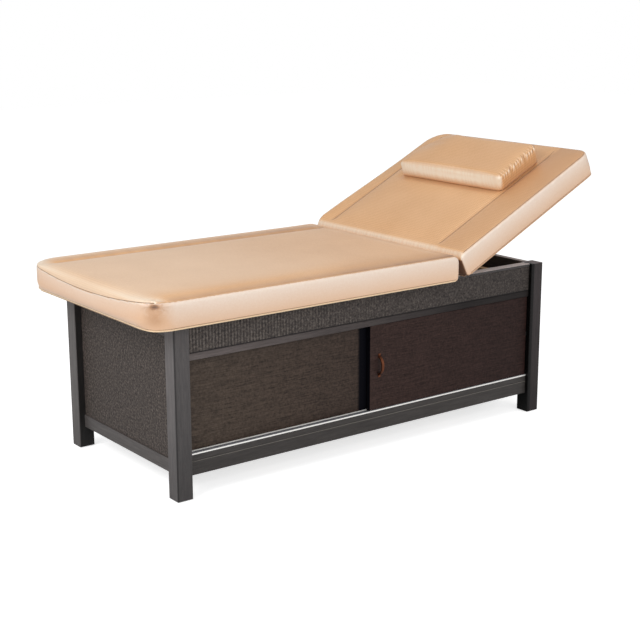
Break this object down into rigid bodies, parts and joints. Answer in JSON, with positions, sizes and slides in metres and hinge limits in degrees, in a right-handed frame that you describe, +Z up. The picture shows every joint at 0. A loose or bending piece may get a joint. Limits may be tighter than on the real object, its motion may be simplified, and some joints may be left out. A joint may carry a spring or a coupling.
{
  "type": "spa bed with cabinet base",
  "caption": "Treatment bed with a hinged backrest and loose pillow on a wooden cabinet with sliding doors.",
  "frame": {"origin": "on the floor under the middle of the overall length and width, with the backrest raised as stored", "axes": "+X from the foot end to the head end, +Y from the door side to the back, +Z up"},
  "size_m": [1.7808, 0.787, 0.9352],
  "materials": {
    "dark_wood": "satin espresso stain",
    "woven_panel": "embossed woven pattern, espresso",
    "dark_board": "matt laminate",
    "frame_wood": "planed",
    "plywood": "sanded",
    "nylon": "natural",
    "rubber": "matt",
    "aluminium": "brushed",
    "copper": "polished copper",
    "wrapped_board": "board edge wrapped in upholstery",
    "upholstery": "embossed woven-look coated fabric",
    "steel": "zinc plated",
    "black_steel": "black powder coat",
    "black_plastic": "textured"
  },
  "bodies": {
    "cabinet": {"post_foot_front": "dark_wood", "post_foot_back": "dark_wood", "post_head_front": "dark_wood", "post_head_back": "dark_wood", "leg_glides": "nylon", "rail_bottom_front": "dark_wood", "rail_bottom_back": "dark_wood", "rail_bottom_foot": "dark_wood", "rail_bottom_head": "dark_wood", "rail_top_front": "dark_wood", "rail_top_back": "dark_wood", "rail_top_foot": "dark_wood", "rail_top_head": "dark_wood", "panel_back": "dark_board", "panel_foot": "woven_panel", "panel_head": "woven_panel", "sill_front": "dark_wood", "header_front": "dark_wood", "fascia_front": "woven_panel", "trim_top_front": "dark_wood", "floor_bearers": "frame_wood", "floor_board": "dark_board", "partition": "dark_board", "deck_bearers": "frame_wood", "deck_board": "plywood", "track_bottom": "aluminium", "door_bumpers": "rubber", "seat_base_board": "wrapped_board", "seat_cushion": "upholstery", "hinge_leaf_seat": "steel", "hinge_pin": "steel", "stay_rail": "frame_wood", "stay_bracket_front": "black_steel", "stay_bracket_back": "black_steel", "stay_bolt_front": "steel", "stay_bolt_back": "steel", "stay_nut": "steel"},
    "backrest": {"backrest_base_board": "wrapped_board", "backrest_batten_front": "frame_wood", "backrest_batten_back": "frame_wood", "backrest_crossbar_hinge": "frame_wood", "backrest_crossbar_head": "frame_wood", "backrest_cushion": "upholstery", "hinge_leaf_backrest": "steel", "stay_quadrant_front": "black_steel", "stay_quadrant_back": "black_steel"},
    "left_door": {"door_left": "dark_wood", "door_left_runners": "nylon", "door_left_guides": "nylon"},
    "right_door": {"door_right": "dark_wood", "door_right_runners": "nylon", "door_right_guides": "nylon", "door_handle": "copper"},
    "knob": {"stay_knob": "black_plastic"},
    "pillow": {"pillow": "upholstery"}
  },
  "joints": [
    {"name": "backrest_hinge", "type": "hinge", "parent": "cabinet", "child": "backrest", "pos_m": [0.26489, 0, 0.60201], "axis": [0, -1, 0], "range_deg": [-26.5, 33.5]},
    {"name": "left_door_slide", "type": "slide", "parent": "cabinet", "child": "left_door", "axis": [1, 0, 0], "range_m": [0, 0.6751]},
    {"name": "right_door_slide", "type": "slide", "parent": "cabinet", "child": "right_door", "axis": [1, 0, 0], "range_m": [-0.6751, 0]},
    {"name": "knob_turn", "type": "hinge", "parent": "cabinet", "child": "knob", "pos_m": [0.53714, -0.1497, 0.476], "axis": [0, 1, 0], "range_deg": [0, 270]},
    {"name": "pillow_lift", "type": "slide", "parent": "backrest", "child": "pillow", "axis": [-0.4462, 0, 0.8949], "range_m": [0, 0.15]}
  ]
}
